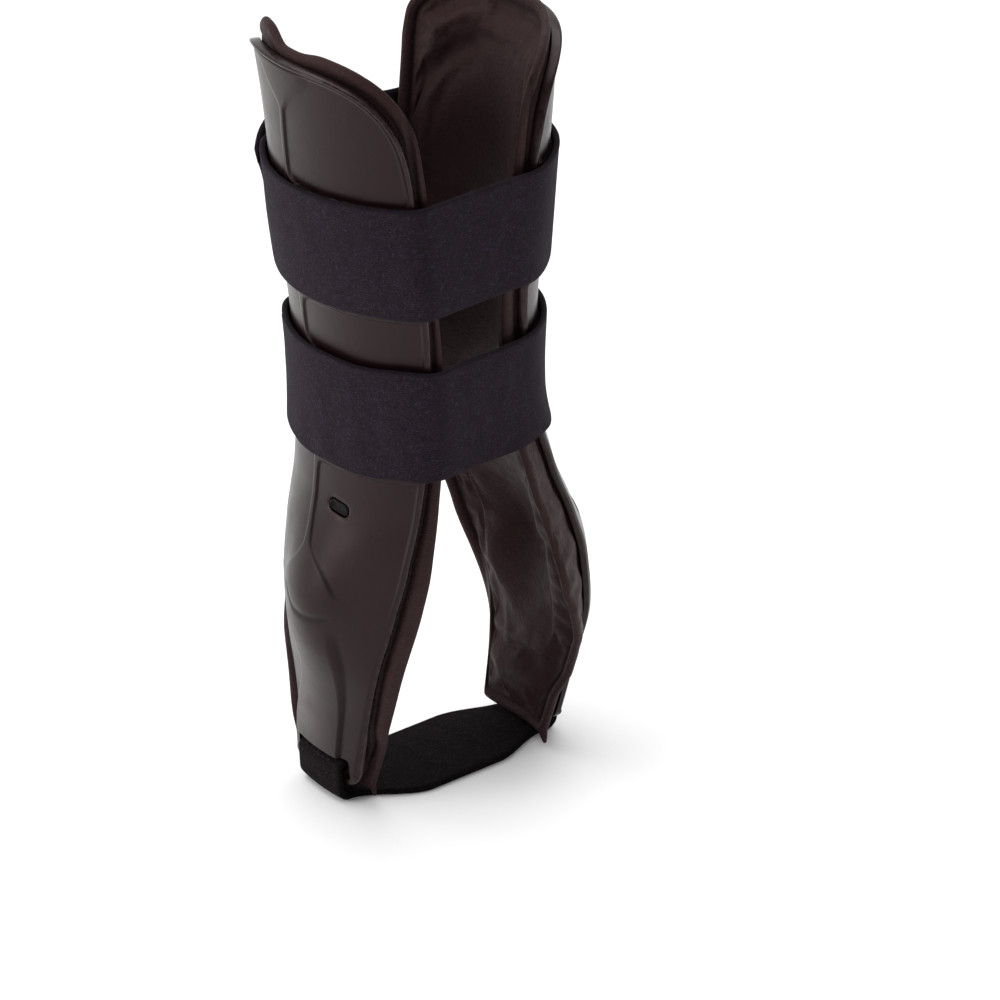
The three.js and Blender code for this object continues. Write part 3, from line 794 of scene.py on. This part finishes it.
# The straps
def taut_outline(z):
    """The taut line round both shells and liner flanges at one height, and what it touches."""
    points, touches = [], []
    q = np.linspace(-1, 1, 61)
    for number, half in enumerate(SIDES):
        height = np.full(q.shape, z)
        face = surface(half, shell_arc(half, q, height), height, 0.0)
        ends = np.array([-1.0, 1.0])
        flange = surface(half, liner_arc(half, ends, height[:2]), height[:2],
                         -SHELL_WALL - LINER_GAP)
        points += [face, flange]
        touches += [np.full(len(q), number), np.full(2, -1)]
    points, touches = np.vstack(points)[:, :2], np.concatenate(touches)
    angle = pi + 2 * pi * np.arange(720) / 720
    away = np.stack([np.cos(angle), np.sin(angle)], -1)
    touched = np.argmax(points @ away.T, axis=0)
    return points[touched] + away * STRAP_GAP, touches[touched]


def strap_route(z):
    """The outline in four stretches: the lateral shell, the front, the medial shell, the back."""
    outline, touches = taut_outline(z)
    count = len(outline)
    medial = np.flatnonzero(touches == 1)
    lateral = touches == 0
    medial_front, medial_back = medial[0], medial[-1]
    lateral_front = np.flatnonzero(lateral[:medial_front])[-1]
    after = np.flatnonzero(lateral[medial_back:])
    lateral_back = medial_back + after[0] if len(after) else 0

    def run(first, last):
        k = [first]
        while k[-1] != last:
            k.append((k[-1] + 1) % count)
        line = outline[k]
        lengths = np.concatenate([[0], np.cumsum(np.hypot(*np.diff(line, axis=0).T))])
        return line, lengths

    return [run(lateral_back, lateral_front), run(lateral_front, medial_front),
            run(medial_front, medial_back), run(medial_back, lateral_back)]


def route_points(route, place):
    """Points on a route at places from 0 to 4, one for each stretch, and round again."""
    stretch = np.floor(place).astype(int) % 4
    result = np.empty((len(place), 2))
    for number, (line, lengths) in enumerate(route):
        here = stretch == number
        distance = (place[here] - np.floor(place[here])) * lengths[-1]
        for axis in (0, 1):
            result[here, axis] = np.interp(distance, lengths, line[:, axis])
    return result


def averaged(values, width):
    """Each value averaged with its neighbours by a bell curve of that many places."""
    reach = 3 * width
    kernel = np.exp(-0.5 * (np.arange(-reach, reach + 1) / width) ** 2)
    kernel /= kernel.sum()
    values = np.asarray(values, float)
    table = values.reshape(len(values), -1)
    padded = np.vstack([table[:1]] * reach + [table] + [table[-1:]] * reach)
    columns = [np.convolve(padded[:, a], kernel, "valid") for a in range(table.shape[1])]
    return np.stack(columns, -1).reshape(values.shape)


def outward(line):
    tangent = np.gradient(line, axis=0)
    tangent /= np.maximum(np.linalg.norm(tangent, axis=1), 1e-9)[:, None]
    return np.stack([tangent[:, 1], -tangent[:, 0]], -1)


def eased(line):
    """A taut line with softer corners, which bulges a little there and never cuts inside."""
    soft = averaged(line, 4)
    away = outward(soft)
    cut_inside = np.maximum(((line - soft) * away).sum(1), 0)
    return soft + away * (1.6 * averaged(cut_inside, 6))[:, None]


def waves(seed, count, longest, shortest):
    """Wave lengths, directions and starts for a gentle unevenness, the same on each run."""
    chance = np.random.default_rng(seed)
    length = np.exp(chance.uniform(log(shortest), log(longest), count))
    return length, chance.uniform(-0.5, 0.5, count), chance.uniform(0, 2 * pi, count)


def unevenness(seed, along_mm, across_mm, longest=60.0, shortest=14.0, count=9):
    """A smooth random height between about -1 and 1."""
    total = np.zeros(np.broadcast(along_mm, across_mm).shape)
    for length, lean, start in zip(*waves(seed, count, longest, shortest)):
        total += np.sin(2 * pi * (along_mm + lean * across_mm) / length + start)
    return total / sqrt(count)


def edge_rows(count):
    """Rows from -1 to 1, closer together at both edges."""
    u = np.linspace(-1, 1, count)
    return 0.75 * np.sin(u * pi / 2) + 0.25 * u


def strap(name, node, centre, overlap, end_lift, end_rise, corner, seed, material):
    """A strap drawn taut round both shells, whose rounded end overlaps its start at the back.
    The end runs askew, so it sits end_rise higher than the rest."""
    middle = strap_route(centre)
    totals = np.array([lengths[-1] for _, lengths in middle])
    start = 3 + CLEAR_OF_CORNER / totals[3]
    lap = start + 4
    end = lap + overlap / totals[3]
    places = [start]
    travelled = [0.0]
    while places[-1] < end - 1e-9:
        total = totals[int(places[-1]) % 4]
        places.append(min(end, places[-1] + STRAP_STEP / total))
        travelled.append(travelled[-1] + (places[-1] - places[-2]) * total)
    place, travelled = np.array(places), np.array(travelled)
    to_end = travelled[-1] - travelled
    ramp = (LAYER_GAP + STRAP_THICKNESS) * 6 / totals[3]
    layer = smooth_step(lap - ramp, lap - ramp / 8, place)
    lift = 1 - smooth_step(0, LIFT_STRETCH, to_end)
    out = layer * (STRAP_THICKNESS + LAYER_GAP) + lift * end_lift

    v = edge_rows(29)
    routes = np.stack([eased(route_points(strap_route(centre + STRAP_WIDTH / 2 * row), place))
                       for row in v], 1)
    half_width = STRAP_WIDTH / 2 - corner + np.sqrt(
        corner**2 - np.clip(corner - to_end, 0, corner) ** 2)
    across = v[None, :] * np.maximum(half_width, 0.3)[:, None]
    across = across + STRAP_EDGE_WAVE * unevenness(seed, travelled, 0.0, 70.0, 25.0)[:, None]
    xy = np.empty(across.shape + (2,))
    for i, wanted in enumerate(across):
        for axis in (0, 1):
            xy[i, :, axis] = np.interp(wanted, v * STRAP_WIDTH / 2, routes[i, :, axis])
    away = np.stack([outward(xy[:, j]) for j in range(len(v))], 1)
    rise = end_rise * (1 - smooth_step(-0.1 * overlap, 1.35 * overlap, to_end))
    z = centre + rise[:, None] + across
    to_edge = np.minimum(half_width[:, None] * (1 - np.abs(v[None, :])), to_end[:, None])
    radius = 0.45 * STRAP_THICKNESS
    inset = np.clip(radius - to_edge, 0, radius)
    drop = radius - np.sqrt(np.maximum(radius**2 - inset**2, 0))
    bumps = STRAP_FACE_WAVE * unevenness(seed + 1, travelled[:, None], across, 48.0, 12.0)
    bumps *= smooth_step(0, 3, to_edge)

    def sheet(level):
        shift = away * (out[:, None] + level)[..., None]
        return np.concatenate([xy + shift, z[..., None]], -1)

    piece = slab(name, sheet(STRAP_THICKNESS - drop + bumps), sheet(drop), material)
    lengths = np.broadcast_to(travelled[:, None], across.shape)
    sheet_values(piece, along=lengths, across=across, edge=1 - smooth_step(0.2, 1.6, to_edge))
    dress(piece, node)


# The heel strap
def heel_turn():
    """The heel strap's route on one side: distance out from the shell's face, height, direction."""
    clear = HEEL_GAP + HEEL_THICKNESS / 2
    floor = HEEL_THICKNESS / 2
    over = SHELL_WALL / 2 + clear
    route = [(-SHELL_WALL - clear, z, pi)
             for z in np.linspace(BAR_TOP - HEEL_HEM, BAR_TOP, 9)[:-1]]
    for angle in np.linspace(pi, 0, 25):
        route.append((over * cos(angle) - SHELL_WALL / 2,
                      BAR_TOP + over * sin(angle), angle))
    for z in np.linspace(BAR_TOP, floor + HEEL_BEND, 14)[1:-1]:
        route.append((clear, z, 0.0))
    for angle in np.linspace(0, -pi / 2, 13):
        route.append((clear - HEEL_BEND + HEEL_BEND * cos(angle),
                      floor + HEEL_BEND + HEEL_BEND * sin(angle), angle))
    return route


def heel_turn_points(half, station, v, layer):
    out, z, away = station
    width = HEEL_TAB_WIDTH / 2 - HEEL_TAB_TRIM
    arc = tab_arc(half) - HEEL_TAB_TRIM + v * width
    height = z + layer * sin(away)
    reach = out + layer * cos(away)
    made = surface(half, arc, np.maximum(height, SHELL_FOOT), reach)
    made[..., 2] = height
    return made


def heel_strap(material):
    """The strap that joins the shells under the heel, tucked through a slot on each side."""
    v = edge_rows(41)
    turn = heel_turn()
    base_steps = 110
    radius = 0.42 * HEEL_THICKNESS
    half_width = HEEL_TAB_WIDTH / 2
    inset = np.clip(radius - half_width * (1 - np.abs(v)), 0, radius)
    drop = radius - np.sqrt(np.maximum(radius**2 - inset**2, 0))

    def sheet(side):
        layer = side * (HEEL_THICKNESS / 2 - drop)
        lines = [heel_turn_points("lateral", s, v, layer) for s in turn]
        first = heel_turn_points("lateral", turn[-1], v, layer)
        last = heel_turn_points("medial", turn[-1], v, layer)
        for k in range(1, base_steps):
            t = k / base_steps
            middle = float(smooth_step(0, 0.32, t) * smooth_step(0, 0.32, 1 - t))
            line = first * (1 - t) + last * t
            wide = HEEL_BASE_CENTRE - v * HEEL_BASE_WIDTH / 2
            line[:, 1] += (wide - line[:, 1]) * middle
            lines.append(line)
        lines += [heel_turn_points("medial", s, v, layer) for s in reversed(turn)]
        return np.stack(lines)

    outer, inner = sheet(1), sheet(-1)
    middle = (outer + inner) / 2
    steps = np.linalg.norm(np.diff(middle[:, len(v) // 2], axis=0), axis=1)
    travelled = np.concatenate([[0], np.cumsum(steps)])
    lengths = np.broadcast_to(travelled[:, None], middle.shape[:2])
    across = np.broadcast_to(v[None, :] * half_width, middle.shape[:2])
    rise = 0.1 * unevenness(31, lengths, across, 40.0, 9.0) * (1 - np.abs(v) ** 6)
    inner = inner + rise[..., None] * np.array([0, 0, 1.0]) * (inner[..., 2:] < 4)
    piece = slab("heel_band", outer, inner, material)
    to_edge = half_width * (1 - np.abs(v))[None, :] + 0 * lengths
    sheet_values(piece, along=lengths, across=across, edge=1 - smooth_step(0.3, 2.0, to_edge))
    dress(piece, "heel_strap")


# The materials
RANGE_SOCKETS = ("From Min", "From Max", "To Min", "To Max")


class Finish:
    """A material's node tree, with lengths in millimetres in the part's own frame."""

    def __init__(self, name, roughness=0.5, **constants):
        self.material = bpy.data.materials.new(name)
        self.material.use_nodes = True
        self.tree = self.material.node_tree
        self.shader = self.tree.nodes["Principled BSDF"]
        self.shader.inputs["Roughness"].default_value = roughness
        for socket, value in constants.items():
            self.shader.inputs[socket.replace("_", " ")].default_value = value
        place = self.node("ShaderNodeTexCoord")
        scale = self.node("ShaderNodeVectorMath", operation="SCALE")
        scale.inputs["Scale"].default_value = 1 / MM
        self.link(place.outputs["Object"], scale.inputs[0])
        self.place = scale.outputs[0]

    def node(self, kind, **settings):
        made = self.tree.nodes.new(kind)
        for key, value in settings.items():
            setattr(made, key, value)
        return made

    def link(self, source, target):
        self.tree.links.new(source, target)

    def put(self, value, socket):
        """Links a value that varies, or sets one that doesn't."""
        if isinstance(value, bpy.types.NodeSocket):
            self.link(value, socket)
        else:
            socket.default_value = value

    def attribute(self, name):
        made = self.node("ShaderNodeAttribute", attribute_name=name)
        return made.outputs["Fac"]

    def math(self, operation, a, b=0.0, clamp=False):
        made = self.node("ShaderNodeMath", operation=operation, use_clamp=clamp)
        self.put(a, made.inputs[0])
        self.put(b, made.inputs[1])
        return made.outputs[0]

    def times(self, a, b):
        return self.math("MULTIPLY", a, b)

    def noise(self, size, detail=2.0, roughness=0.5, stretch=None):
        """Noise whose features are about size millimetres across."""
        made = self.node("ShaderNodeTexNoise")
        made.inputs["Scale"].default_value = 1 / size
        made.inputs["Detail"].default_value = detail
        made.inputs["Roughness"].default_value = roughness
        place = self.place
        if stretch:
            moved = self.node("ShaderNodeVectorMath", operation="MULTIPLY")
            moved.inputs[1].default_value = stretch
            self.link(place, moved.inputs[0])
            place = moved.outputs[0]
        self.link(place, made.inputs["Vector"])
        return made.outputs["Fac"]

    def cells(self, size):
        """Distance from the middles of cells about size millimetres across."""
        made = self.node("ShaderNodeTexVoronoi")
        made.inputs["Scale"].default_value = 1 / size
        self.link(self.place, made.inputs["Vector"])
        return made.outputs["Distance"]

    def span(self, value, low, high, to_low=0.0, to_high=1.0):
        """The value stretched from one range to another and kept inside it."""
        made = self.node("ShaderNodeMapRange", clamp=True)
        self.put(value, made.inputs["Value"])
        for socket, number in zip(RANGE_SOCKETS, (low, high, to_low, to_high)):
            made.inputs[socket].default_value = number
        return made.outputs["Result"]

    def blend(self, share, first, second):
        """A colour between two, each a colour or a socket."""
        made = self.node("ShaderNodeMix", data_type="RGBA")
        self.put(share, made.inputs["Factor"])
        for value, socket in ((first, made.inputs["A"]), (second, made.inputs["B"])):
            self.put(value if isinstance(value, bpy.types.NodeSocket) else (*value, 1), socket)
        return made.outputs["Result"]

    def colour(self, value):
        self.link(value, self.shader.inputs["Base Color"])

    def rough(self, value):
        self.link(value, self.shader.inputs["Roughness"])

    def bump(self, *heights):
        """Bumps, each a height from 0 to 1 and its depth in millimetres."""
        normal = None
        for height, depth in heights:
            made = self.node("ShaderNodeBump")
            made.inputs["Distance"].default_value = depth * MM
            self.link(height, made.inputs["Height"])
            if normal is not None:
                self.link(normal, made.inputs["Normal"])
            normal = made.outputs["Normal"]
        self.link(normal, self.shader.inputs["Normal"])


def shell_finish():
    """Semi-gloss moulded plastic: faint flow marks, orange peel, fine scratches, worn edges, a
    painted highlight on the plateau and painted shade in creases and moulded lines.
    """
    f = Finish("shell_plastic", 0.36, Specular_IOR_Level=0.215)
    f.shader.inputs["Specular Tint"].default_value = (1.0, 0.80, 0.80, 1)
    flow = f.noise(38.0, 3.0, 0.55, stretch=(1.0, 1.0, 0.35))
    mottle = f.noise(5.0, 4.0, 0.6)
    base = f.blend(f.span(flow, 0.3, 0.7), (0.0068, 0.0021, 0.0026), (0.0098, 0.0036, 0.0041))
    base = f.blend(f.span(mottle, 0.55, 0.8, 0.0, 0.5), base, (0.0125, 0.0060, 0.0063))
    scratches = f.noise(0.5, 2.0, 0.5, stretch=(1.0, 1.0, 0.05))
    scratched = f.times(f.span(scratches, 0.66, 0.76), f.span(f.noise(16.0, 2.0), 0.52, 0.66))
    worn = f.times(f.attribute("wear"), f.span(f.noise(3.0, 4.0, 0.7), 0.35, 0.75))
    base = f.blend(f.times(scratched, 0.35), base, (0.05, 0.04, 0.04))
    base = f.blend(f.times(worn, 0.6), base, (0.050, 0.036, 0.036))
    # painted highlight: a lighter, patchy tone on the plateau above the heel strap
    patchy = f.span(f.noise(7.0, 4.0, 0.65), 0.2, 0.8, 0.4, 1.0)
    patchy_painted_highlight = f.times(f.attribute("painted_highlight"), patchy)
    base = f.blend(f.times(patchy_painted_highlight, 0.8), base, (0.115, 0.096, 0.092))
    # painted shade: near-black in the creases, the valley and the panels' step lines, which are
    # rougher too
    painted_shade = f.attribute("painted_shade")
    base = f.blend(f.times(painted_shade, 0.9), base, (0.002, 0.0012, 0.0013))
    f.colour(base)
    rough = f.span(f.noise(9.0, 4.0, 0.6), 0.3, 0.75, 0.27, 0.38)
    rough = f.math("ADD", rough, f.times(scratched, 0.16))
    rough = f.math("ADD", rough, f.times(painted_shade, 0.4))
    rough = f.math("SUBTRACT", rough, f.times(f.attribute("wear"), 0.12), clamp=True)
    f.rough(rough)
    f.bump((f.noise(2.2, 2.0, 0.5), 0.035), (f.noise(0.32, 1.0, 0.5), 0.012),
           (scratched, 0.02))
    return f.material


def liner_finish():
    """Soft matte vinyl film over foam, with fine grain, small creases, a darker weld and painted
    shade in the groove beside the shell's edge.
    """
    f = Finish("liner_vinyl", 0.62, Specular_IOR_Level=0.16, Sheen_Weight=0.02,
               Sheen_Roughness=0.5)
    f.shader.inputs["Sheen Tint"].default_value = (0.75, 0.55, 0.53, 1)
    f.shader.inputs["Specular Tint"].default_value = (1.0, 0.74, 0.72, 1)
    cloud = f.noise(24.0, 4.0, 0.6)
    base = f.blend(f.span(cloud, 0.3, 0.7), (0.0190, 0.0082, 0.0090), (0.0265, 0.0126, 0.0136))
    # the seam value darkens the weld, and paints shade into the groove beside the shell's edge
    base = f.blend(f.times(f.attribute("seam"), 0.75), base, (0.0025, 0.0015, 0.0016))
    pores = f.cells(0.55)
    base = f.blend(f.span(pores, 0.0, 0.25, 0.35, 0.0), base, (0.008, 0.005, 0.006))
    f.colour(base)
    f.rough(f.span(f.noise(4.0, 3.0, 0.6), 0.3, 0.7, 0.52, 0.70))
    creases = f.noise(3.2, 3.0, 0.6, stretch=(1.0, 1.0, 2.2))
    ridged = f.math("ABSOLUTE", f.math("SUBTRACT", creases, 0.5))
    f.bump((f.span(ridged, 0.0, 0.12), 0.09), (f.cells(0.9), 0.05), (f.noise(0.3, 2.0), 0.015))
    return f.material


def pile_finish(name, dark, light, fleck, sheen, gloss):
    """Brushed loop pile: tiny curls with a faint knit under them, flecks and a soft sheen."""
    f = Finish(name, 0.93, Specular_IOR_Level=gloss, Sheen_Weight=sheen, Sheen_Roughness=0.55)
    f.shader.inputs["Sheen Tint"].default_value = (0.60, 0.50, 0.66, 1)
    along_strap, across_strap = f.attribute("along"), f.attribute("across")
    band = f.node("ShaderNodeCombineXYZ")
    f.link(along_strap, band.inputs["X"])
    f.link(across_strap, band.inputs["Y"])
    curls = f.noise(0.85, 3.0, 0.65)
    tufts = f.noise(5.5, 3.0, 0.6)
    base = f.blend(f.span(curls, 0.35, 0.68), dark, light)
    base = f.blend(f.span(tufts, 0.45, 0.75, 0.0, 0.45), base, light)
    flecks = f.span(f.noise(0.55, 1.0, 0.5), 0.56, 0.66)
    bluish = f.span(f.noise(2.1, 2.0, 0.5), 0.36, 0.6)
    base = f.blend(f.times(flecks, bluish), base, fleck)
    base = f.blend(f.times(f.attribute("edge"), 0.6), base, dark)
    f.colour(base)
    f.rough(f.span(curls, 0.3, 0.7, 0.86, 1.0))
    knit = f.node("ShaderNodeTexWave", wave_type="BANDS", bands_direction="Y")
    knit.inputs["Scale"].default_value = 0.36
    knit.inputs["Distortion"].default_value = 1.2
    knit.inputs["Detail"].default_value = 2.0
    f.link(band.outputs[0], knit.inputs["Vector"])
    f.bump((f.noise(2.4, 2.0, 0.5), 0.16), (knit.outputs["Fac"], 0.07), (curls, 0.28),
           (f.cells(0.45), 0.12))
    return f.material


def rubber_finish():
    """Moulded rubber, a little glossy, with a fine grain and patches of dust."""
    f = Finish("valve_rubber", 0.6, Specular_IOR_Level=0.12)
    dust = f.noise(1.4, 4.0, 0.65)
    dusty = f.span(dust, 0.5, 0.75, 0.0, 0.5)
    f.colour(f.blend(dusty, (0.0025, 0.0017, 0.0017), (0.010, 0.008, 0.008)))
    f.rough(f.span(dust, 0.35, 0.7, 0.45, 0.7))
    f.bump((f.noise(0.5, 2.0), 0.03))
    return f.material


def paper_finish():
    f = Finish("floor_paper", 0.9, Specular_IOR_Level=0.1)
    f.colour(f.blend(f.noise(400.0, 2.0), (0.93, 0.93, 0.93), (0.95, 0.95, 0.95)))
    return f.material


# The camera and light
def make_camera():
    azimuth, elevation = radians(CAMERA_AZIMUTH), radians(CAMERA_ELEVATION)
    back = Vector((-sin(azimuth) * cos(elevation),
                   -cos(azimuth) * cos(elevation), sin(elevation)))
    right = Vector((cos(azimuth), -sin(azimuth), 0))
    level = Matrix((right, back.cross(right), back)).transposed()
    roll = Matrix.Rotation(radians(CAMERA_ROLL), 3, back)
    pan = atan((IMAGE_SIZE / 2 - TARGET_PIXEL[0]) / FOCAL_PIXELS)
    tilt = atan((IMAGE_SIZE / 2 - TARGET_PIXEL[1]) / FOCAL_PIXELS)
    aim = Matrix.Rotation(-pan, 3, "Y") @ Matrix.Rotation(-tilt, 3, "X")
    data = bpy.data.cameras.new("camera")
    data.sensor_width = SENSOR
    data.lens = SENSOR * FOCAL_PIXELS / IMAGE_SIZE
    data.clip_start, data.clip_end = 0.05, 50
    camera = add_object("camera", data)
    place = (Vector(CAMERA_TARGET) + back * CAMERA_DISTANCE) * MM
    camera.matrix_world = Matrix.Translation(place) @ (roll @ level @ aim).to_4x4()
    scene.camera = camera


def soft_light(name, place, size, power):
    data = bpy.data.lights.new(name, "AREA")
    data.shape = "RECTANGLE"
    data.size, data.size_y = size
    data.energy = power
    light = add_object(name, data)
    light.location = place
    toward = Vector(LIGHT_TARGET) - Vector(place)
    light.rotation_euler = toward.to_track_quat("-Z", "Y").to_euler()


def make_studio():
    """A white room that is darker on the camera's side, with an overhead sun on the floor."""
    world = bpy.data.worlds.new("studio")
    world.use_nodes = True
    nodes, links = world.node_tree.nodes, world.node_tree.links
    direction = nodes.new("ShaderNodeTexCoord")
    toward = nodes.new("ShaderNodeVectorMath")
    toward.operation = "DOT_PRODUCT"
    toward.inputs[1].default_value = DARK_SIDE
    links.new(direction.outputs["Generated"], toward.inputs[0])
    fade = nodes.new("ShaderNodeMapRange")
    fade.interpolation_type = "SMOOTHSTEP"
    for socket, number in zip(RANGE_SOCKETS, (*WORLD_FADE, WORLD_BRIGHT, WORLD_DIM)):
        fade.inputs[socket].default_value = number
    links.new(toward.outputs["Value"], fade.inputs["Value"])
    background = nodes["Background"]
    background.inputs["Color"].default_value = (1, 1, 1, 1)
    links.new(fade.outputs["Result"], background.inputs["Strength"])
    scene.world = world
    scene.view_settings.view_transform = "Standard"
    for name, place, size, power in LIGHTS:
        soft_light(name, place, size, power)
    data = bpy.data.lights.new("overhead", "SUN")
    data.energy = OVERHEAD_POWER
    data.angle = radians(OVERHEAD_SPREAD)
    overhead = add_object("overhead", data)
    overhead.rotation_euler = [radians(angle) for angle in OVERHEAD_LEAN]
    mesh = bpy.data.meshes.new("floor")
    r = FLOOR_REACH
    corners = [(-r, -r, 0), (r, -r, 0), (r, r, 0), (-r, r, 0)]
    mesh.from_pydata(corners, [], [(0, 1, 2, 3)])
    mesh.materials.append(paper_finish())
    add_object("floor", mesh)


# The scene
make_camera()
make_studio()
shell_plastic = shell_finish()
liner_vinyl = liner_finish()
rubber = rubber_finish()
loop_pile = pile_finish("loop_pile", (0.0050, 0.0029, 0.0048), (0.0180, 0.0108, 0.0165),
                        (0.027, 0.021, 0.038), 0.04, 0.12)
webbing = pile_finish("heel_webbing", (0.0026, 0.0017, 0.0020), (0.0085, 0.0058, 0.0064),
                      (0.030, 0.023, 0.030), 0.01, 0.06)
for side_name in SIDES:
    shell(side_name, shell_plastic)
    liner(side_name, liner_vinyl)
    valve(side_name, rubber)
strap("upper_strap", "strap_upper", UPPER_STRAP_CENTRE, UPPER_OVERLAP, UPPER_END_LIFT,
      UPPER_END_RISE, UPPER_END_CORNER, 3, loop_pile)
strap("lower_strap", "strap_lower", LOWER_STRAP_CENTRE, LOWER_OVERLAP, LOWER_END_LIFT,
      LOWER_END_RISE, LOWER_END_CORNER, 11, loop_pile)
heel_strap(webbing)

bpy.context.view_layer.update()
